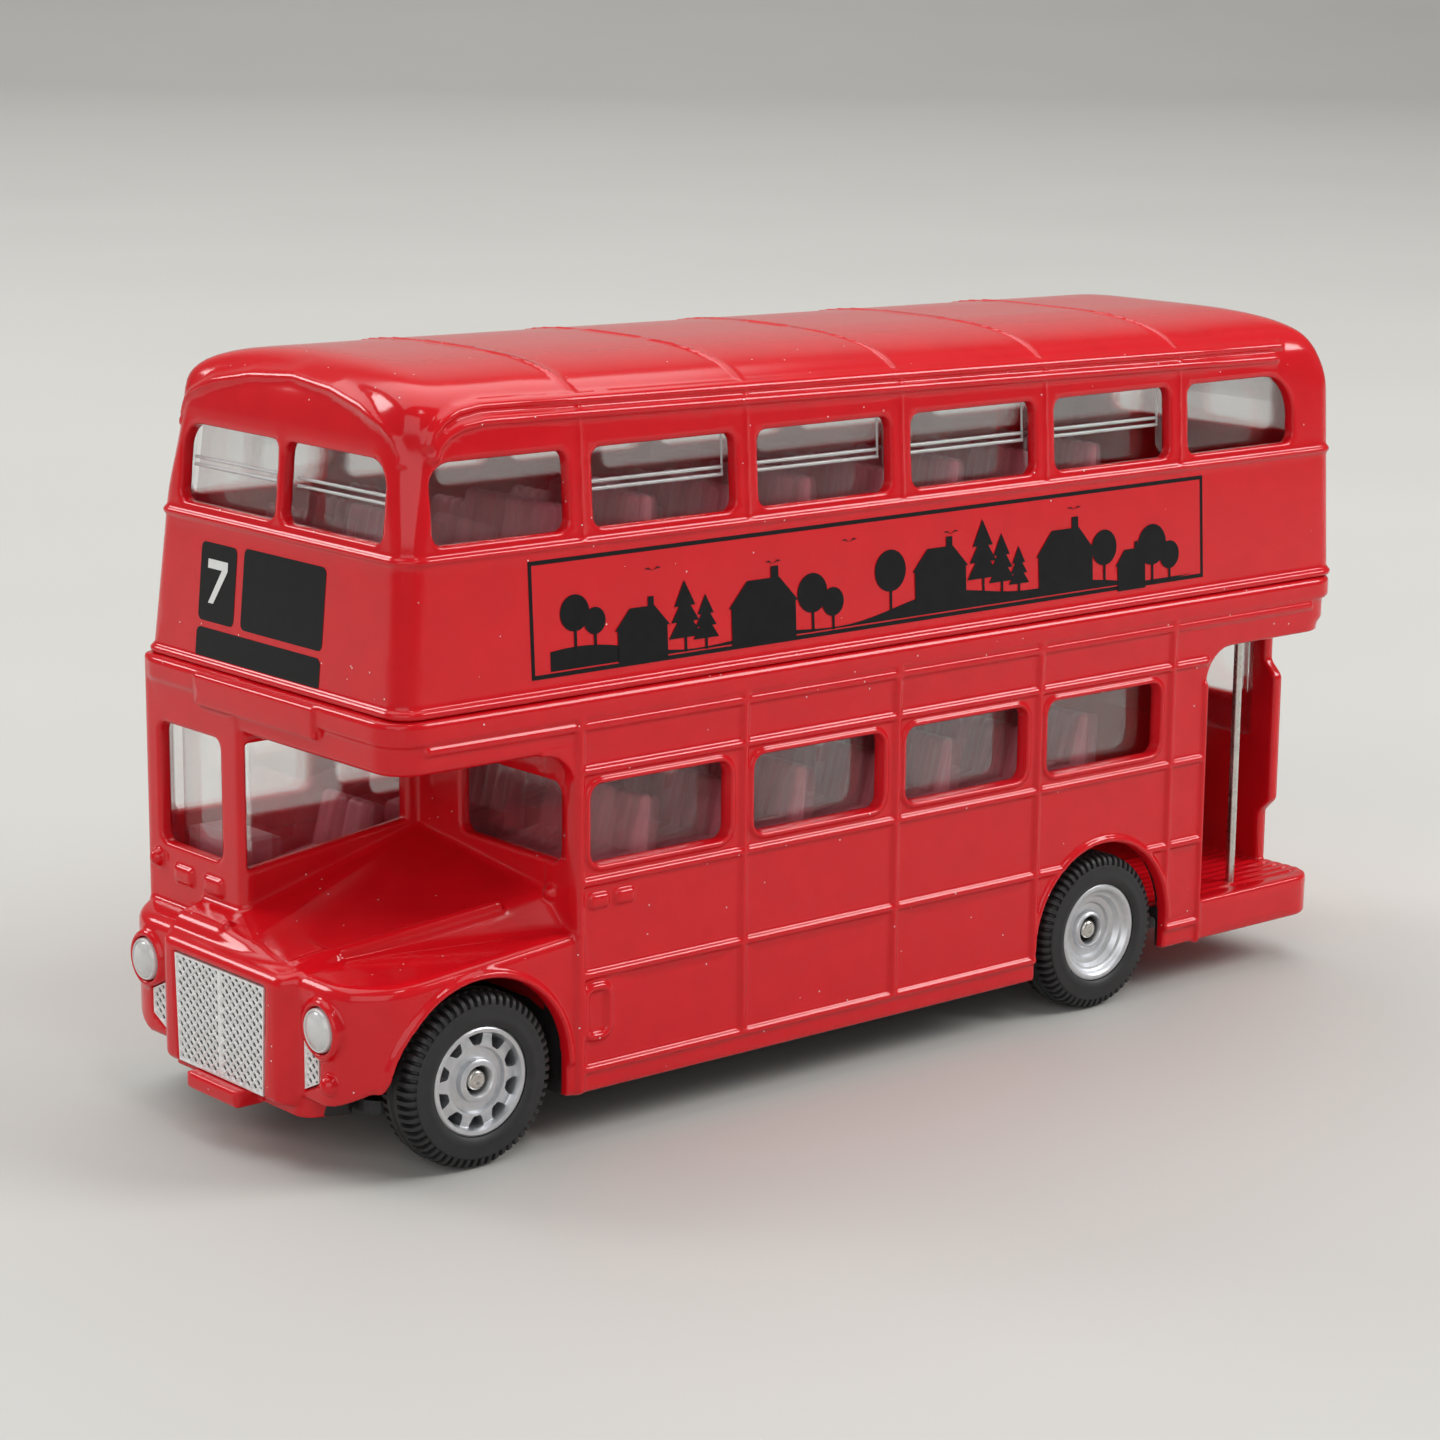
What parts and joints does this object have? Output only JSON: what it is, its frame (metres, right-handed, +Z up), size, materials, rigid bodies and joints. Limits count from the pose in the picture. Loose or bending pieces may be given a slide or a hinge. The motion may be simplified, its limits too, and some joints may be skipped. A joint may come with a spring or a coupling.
{
  "type": "toy bus",
  "caption": "Die-cast toy double-deck bus with a half cab, open rear platform, clear windows, moulded seats and free-rolling wheels on steel axles.",
  "frame": {"origin": "on the ground, under the middle of the bus's length and width", "axes": "+X towards the rear of the bus along its length, +Y towards its right-hand (driver's) side, +Z up; the front faces -X and the open platform is on the -Y side"},
  "size_m": [0.122, 0.04, 0.0674],
  "materials": {
    "red_paint": "gloss red enamel on cast metal",
    "clear_window": "clear moulded plastic, faintly grey",
    "seat_plastic": "maroon moulded plastic, half gloss",
    "base_plastic": "black moulded plastic",
    "steel": "bright drawn steel",
    "hub_metal": "bright silver",
    "tyre": "black rubber",
    "silver_insert": "silver-white moulded mesh",
    "lamp_lens": "pale silver lens"
  },
  "bodies": {
    "bus": {"upper_body": "red_paint", "lower_body": "red_paint", "upper_glazing": "clear_window", "lower_glazing": "clear_window", "upper_deck_seats": "seat_plastic", "lower_deck_seats": "seat_plastic", "base_plate": "base_plastic", "radiator_grille": "silver_insert", "headlamp_left": "lamp_lens", "headlamp_right": "lamp_lens", "wing_grille_left": "silver_insert", "wing_grille_right": "silver_insert", "grab_pole": "steel", "assembly_screws": "steel"},
    "front_wheelset": {"front_axle": "steel", "front_left_hub": "hub_metal", "front_right_hub": "hub_metal", "front_left_tyre": "tyre", "front_right_tyre": "tyre"},
    "rear_wheelset": {"rear_axle": "steel", "rear_left_hub": "hub_metal", "rear_right_hub": "hub_metal", "rear_left_tyre": "tyre", "rear_right_tyre": "tyre"}
  },
  "joints": [
    {"name": "front_axle_spin", "type": "hinge", "parent": "bus", "child": "front_wheelset", "pos_m": [-0.04655, 0, 0.0077], "axis": [0, 1, 0], "continuous": true},
    {"name": "rear_axle_spin", "type": "hinge", "parent": "bus", "child": "rear_wheelset", "pos_m": [0.02785, 0, 0.0077], "axis": [0, 1, 0], "continuous": true}
  ]
}
